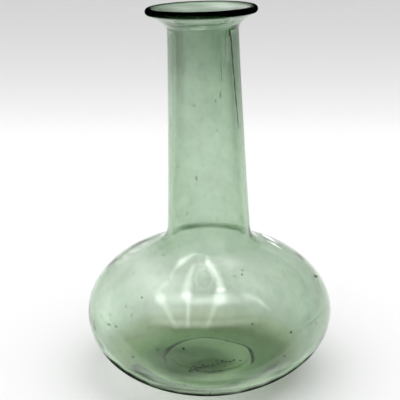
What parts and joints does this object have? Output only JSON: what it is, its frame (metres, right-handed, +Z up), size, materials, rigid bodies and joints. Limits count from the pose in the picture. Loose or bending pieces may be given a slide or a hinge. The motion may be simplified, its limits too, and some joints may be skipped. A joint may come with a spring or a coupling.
{
  "type": "glass perfume flask",
  "caption": "Free-blown glass flask with a squat round body, a tall slightly leaning neck and a flared lip, open at the mouth, for perfumed oil.",
  "frame": {"origin": "under the middle of the widest ring of the body, on the surface that the flask stands on", "axes": "+Z up along the neck, -Y towards the front, +X to the right; the neck leans towards -X"},
  "size_m": [0.1008, 0.1008, 0.1521],
  "materials": {
    "sea_green_glass": "clear pale sea-green blown glass, smooth, with small bubbles and a faint weathered film"
  },
  "bodies": {
    "root": {"flask": "sea_green_glass"}
  },
  "joints": []
}
